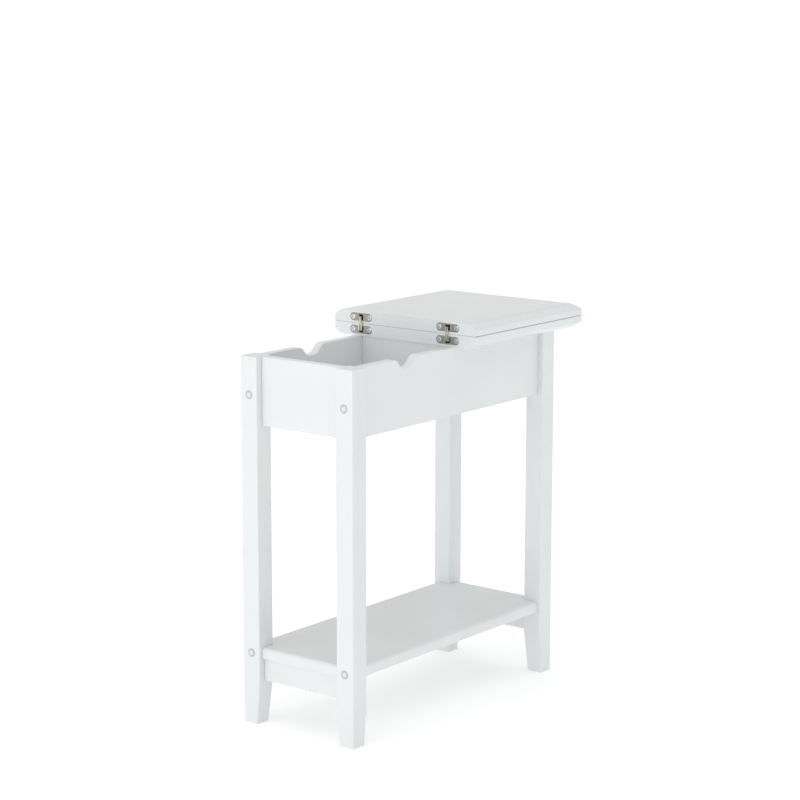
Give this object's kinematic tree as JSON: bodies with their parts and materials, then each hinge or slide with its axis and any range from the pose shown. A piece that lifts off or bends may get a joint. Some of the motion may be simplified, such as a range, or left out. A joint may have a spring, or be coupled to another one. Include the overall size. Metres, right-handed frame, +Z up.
{
  "type": "lift top end table",
  "caption": "Narrow white end table: half of its top flips over on concealed hinges to open a storage bay with a charging unit; low shelf between tapered legs.",
  "frame": {"origin": "on the floor, at the middle of the whole outline with the lift leaf lying open on the fixed leaf", "axes": "+Z up; Y along the table, with the storage bay's end facing -Y; X across it"},
  "size_m": [0.286, 0.5684, 0.6314],
  "materials": {
    "painted_leg": "satin white lacquer over solid wood",
    "painted_board": "satin white lacquer over fibreboard",
    "raw_wood": "bare beech",
    "zinc_steel": "bright zinc plated",
    "nickel": "satin nickel plated casting",
    "brass": "satin",
    "white_plastic": "fine matt moulded texture",
    "plug_plastic": "white cover plugs",
    "port_steel": "drawn sheet",
    "dark_plastic": "moulded",
    "light_lens": "smooth lens",
    "circuit_board": "solder mask",
    "rubber": "soft white pads"
  },
  "bodies": {
    "table": {"leg_front_right": "painted_leg", "leg_front_left": "painted_leg", "leg_rear_right": "painted_leg", "leg_rear_left": "painted_leg", "front_panel": "painted_board", "rear_panel": "painted_board", "right_side_panel": "painted_board", "left_side_panel": "painted_board", "divider_panel": "painted_board", "compartment_floor": "painted_board", "floor_cleat_right": "raw_wood", "floor_cleat_left": "raw_wood", "top_fixing_blocks": "raw_wood", "front_shelf_rail": "painted_board", "rear_shelf_rail": "painted_board", "shelf_board": "painted_board", "fixed_top_leaf": "painted_board", "upper_leg_bolts": "zinc_steel", "lower_leg_bolts": "zinc_steel", "barrel_nuts": "zinc_steel", "bolt_cover_plugs": "plug_plastic", "panel_dowels": "raw_wood", "rail_dowels": "raw_wood", "cleat_screws": "zinc_steel", "floor_screws": "zinc_steel", "top_fixing_screws": "zinc_steel", "hinge_fixed_cups": "nickel", "hinge_fixed_screws": "zinc_steel", "hinge_fixed_cross_pins": "zinc_steel", "hinge_fixed_links": "brass", "hinge_pins": "zinc_steel", "power_plate": "white_plastic", "power_housing": "white_plastic", "outlet_insert": "white_plastic", "outlet_contacts": "brass", "usb_port_shells": "port_steel", "usb_port_tongues": "white_plastic", "status_light": "light_lens", "charger_board": "circuit_board", "power_plate_screws": "zinc_steel", "cord_gland": "dark_plastic"},
    "lift_leaf": {"lift_top_leaf": "painted_board", "bumper_pads": "rubber", "hinge_lift_cups": "nickel", "hinge_lift_screws": "zinc_steel", "hinge_lift_cross_pins": "zinc_steel", "hinge_lift_links": "brass"}
  },
  "joints": [
    {"name": "lift_leaf_hinge", "type": "hinge", "parent": "table", "child": "lift_leaf", "pos_m": [0, -0.01745, 0.6108], "axis": [1, 0, 0], "range_deg": [0, 180]}
  ]
}
